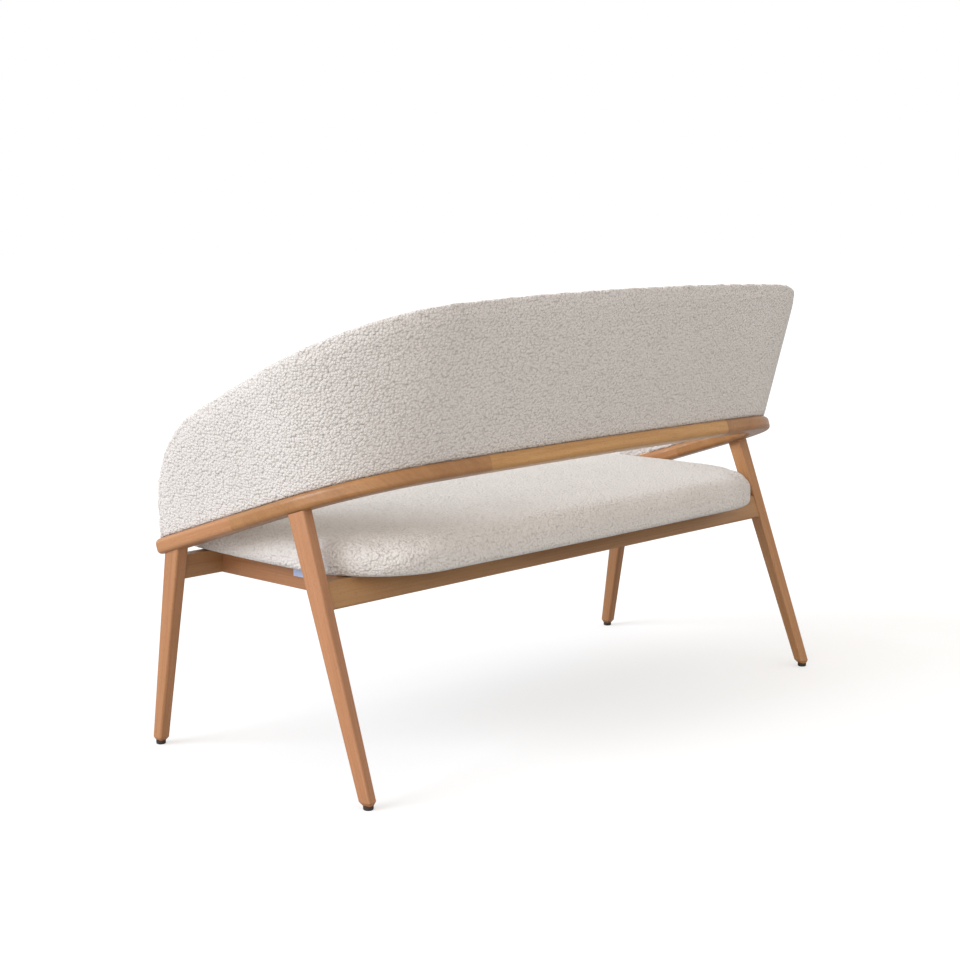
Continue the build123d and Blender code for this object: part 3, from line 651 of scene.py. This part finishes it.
def swollen(piece, held, limit):
    """Blows the piece up as a tight cover over foam; no point moves past limit, held ones stay."""
    group = piece.vertex_groups.new(name="held")
    group.add(np.flatnonzero(held).tolist(), 1.0, "REPLACE")
    start = points_of(piece)
    cloth = piece.modifiers.new("cloth", "CLOTH")
    cloth.settings.quality = 4
    cloth.settings.vertex_group_mass = "held"
    cloth.settings.use_pressure = True
    cloth.settings.uniform_pressure_force = pressure
    cloth.settings.effector_weights.gravity = 0.0
    cloth.point_cache.frame_start = 1
    cloth.point_cache.frame_end = cloth_frames
    for frame_number in range(1, cloth_frames + 1):
        scene.frame_set(frame_number)
    applied(piece)
    moved = points_of(piece) - start
    length = np.linalg.norm(moved, axis=1, keepdims=True)
    share = limit * np.tanh(length / limit) / np.maximum(length, 1e-9)
    place_points(piece, start + moved * share)
    piece.vertex_groups.clear()
    scene.frame_set(1)
    print(piece.name, "swelled by up to", round(float((length * share).max()) * 1000, 1), "mm")
    return piece


def subdivided(piece):
    finer = piece.modifiers.new("finer", "SUBSURF")
    finer.levels = finer.render_levels = 1
    finer.subdivision_type = "CATMULL_CLARK"
    return applied(piece)


def thinned(piece, hidden, keep):
    """Fewer faces where nobody looks: keep is the share of all faces that stays."""
    group = piece.vertex_groups.new(name="hidden")
    group.add(np.flatnonzero(hidden).tolist(), 1.0, "REPLACE")
    fewer = piece.modifiers.new("fewer", "DECIMATE")
    fewer.ratio = keep
    fewer.vertex_group = "hidden"
    applied(piece)
    piece.vertex_groups.clear()
    return piece


print("cloth pressure", pressure, "over", cloth_frames, "frames")

# %% [markdown]
# The nubs of the boucle are domes round scattered points. Points from a random generator would
# have to be drawn and searched, so each small cell of space makes its own from its number: the
# result is the same at every run, and neighbouring pieces share one pattern.

# %% Nubs
nub_size = 0.0064
nub_height = 0.0012
yarn_size = 0.0027


def scatter(cells, salt):
    """A repeatable random number from 0 to 1 for each whole-numbered cell."""
    mixed = (cells[:, 0] * 73856093) ^ (cells[:, 1] * 19349663) ^ (cells[:, 2] * 83492791)
    mixed = mixed ^ (salt * 2654435761)
    mixed = (mixed ^ (mixed >> 13)) * 1274126177 & 0x7FFFFFFF
    return ((mixed ^ (mixed >> 16)) & 0xFFFFF) / float(0xFFFFF)


def nubs_at(points):
    """Height of the boucle, 0 to 1: a round dome on each of many scattered centres."""
    scaled = points / nub_size
    cell = np.floor(scaled).astype(np.int64)
    nearest = np.full(len(points), 9.0)
    for step in itertools.product((-1, 0, 1), repeat=3):
        near = cell + np.array(step)
        centre = near + np.stack([scatter(near, salt) for salt in (1, 2, 3)], axis=1)
        nearest = np.minimum(nearest, np.linalg.norm(centre - scaled, axis=1))
    return np.clip(1.1 - nearest**2, 0.0, 1.0)


def boucle_surface(piece, flat=None):
    """Raises the nubs along the surface and leaves their height on the mesh, from which the finish paints
    shade into the hollows.
    """
    points = points_of(piece)
    loose_yarn = scatter(np.round(points / yarn_size).astype(np.int64), 5)
    nub = 0.75 * nubs_at(points) + 0.25 * loose_yarn
    lift = nub_height * (nub - 0.6)
    if flat is not None:
        lift[flat] = 0.0
    place_points(piece, points + facing_of(piece) * lift[:, None])
    layer = piece.data.attributes.new("nub", "FLOAT", "POINT")
    layer.data.foreach_set("value", nub.astype(np.float32))


def dress(piece, fill, *replaced):
    """Finish, body, slot and the CAD pieces that it stands for."""
    piece.data.materials.clear()
    piece.data.materials.append(boucle)
    piece.data.shade_smooth()
    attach(piece, "root")
    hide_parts(*replaced)
    triangles = sum(len(p.vertices) - 2 for p in piece.data.polygons)
    print(piece.name, "has", len(piece.data.vertices), "points,", triangles, "triangles")


print("nubs", nub_size * 1000, "mm across,", nub_height * 1000, "mm high")

# %% [markdown]
# ## Seat cushion
# The seat is a foam slab over a plywood board, with the cover pulled down round the edge and
# stapled underneath. Foam and cover make a low crown and a full rounded edge, and the underside
# stays flat on the rails. The points under the board are held, and all others may swell.

# %% Seat cushion
seat_low, seat_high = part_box("seat_cover")
seat_voxel = 0.0058
seat_swell = 0.011
seat_crown = 0.010
underside_depth = 0.004
underside_flat = 0.003
underside_lift = 0.0011
smooth_underside = 0.0025
seat_share_kept = 0.62
seat_cushion = remeshed(joined("seat_cushion", ["seat_cover", "seat_foam", "seat_board",
                                                "seat_underside_lining"]), seat_voxel)
points = points_of(seat_cushion)
below = points[:, 2] < seat_low.z + underside_depth
swollen(seat_cushion, below, seat_swell)
points = points_of(seat_cushion)
middle = (seat_low + seat_high) / 2
half = (seat_high - seat_low) / 2
across = np.clip(1 - ((points[:, 0] - middle.x) / half.x) ** 2, 0, 1)
front_to_back = np.clip(1 - ((points[:, 1] - middle.y) / half.y) ** 2, 0, 1)
height = np.clip((points[:, 2] - middle.z) / half.z, 0, 1)
points[:, 2] += seat_crown * np.sqrt(across * front_to_back) * height
place_points(seat_cushion, points)
smoothed(seat_cushion, 3)
subdivided(seat_cushion)
points = points_of(seat_cushion)
under = points[:, 2] < seat_low.z + underside_flat
points[under, 2] = np.maximum(points[under, 2], seat_low.z + underside_lift)
place_points(seat_cushion, points)
thinned(seat_cushion, under, seat_share_kept)
boucle_surface(seat_cushion, points_of(seat_cushion)[:, 2] < seat_low.z + smooth_underside)
dress(seat_cushion, 0.7, "seat_cover", "seat_foam")

# %% [markdown]
# ## Back and arms
# The back is one wall of foam round a bent plywood shell. Its inside and its rounded top are one
# cover, and the outside is a separate panel sewn in along a seam just below the top edge. Two
# pieces are made in the same way, so that the seam is a real groove between them.

# %% Back body
shell_voxel = 0.0054
back_swell = 0.009
search = 0.03
held_at_rail = 0.004
stitched_at_rail = 0.006
stitched_at_panel = 0.012
back_share_kept = 0.56
back_body = remeshed(joined("back_body", ["back_cover_inner", "back_foam", "back_shell",
                                          "back_outer_pad", "back_fixing_blocks"]), shell_voxel)
from_outside = distance_to(back_body, "back_cover_outer", search)
rail_names = [name for name in nodes if name in board_tints_and_shade and "_rail" in name and "seat" not in name]
from_rail = np.min([distance_to(back_body, name, search) for name in rail_names], axis=0)
smoothed(back_body, 16, from_rail < held_at_rail)
stitched = (from_outside < stitched_at_panel) | (from_rail < stitched_at_rail)
swollen(back_body, stitched, back_swell)
smoothed(back_body, 2, from_rail < held_at_rail)
subdivided(back_body)
behind_pad = distance_to(back_body, "back_outer_pad", search) < 0.003
thinned(back_body, behind_pad, back_share_kept)
boucle_surface(back_body)
dress(back_body, 0.8, "back_cover_inner", "back_foam")

# %% Outer panel
panel_voxel = 0.0027
seam_roll = 0.022
seam_tuck = 0.0028
inner_side = 0.0055
against_shell = 0.0035
panel_share_kept = 0.54
outer_panel = remeshed(joined("outer_panel", ["back_cover_outer", "back_outer_pad"]), panel_voxel)
smoothed(outer_panel, 6)
to_seam = distance_to(outer_panel, "back_cover_inner", seam_roll)
outside = distance_to(outer_panel, "back_shell", search) > inner_side
tuck = seam_tuck * np.clip(1 - to_seam / seam_roll, 0, 1) ** 2 * outside
place_points(outer_panel, points_of(outer_panel) - facing_of(outer_panel) * tuck[:, None])
smoothed(outer_panel, 3)
hidden = distance_to(outer_panel, "back_shell", search) < against_shell
thinned(outer_panel, hidden, panel_share_kept)
boucle_surface(outer_panel)
dress(outer_panel, 0.9, "back_cover_outer", "back_outer_pad")
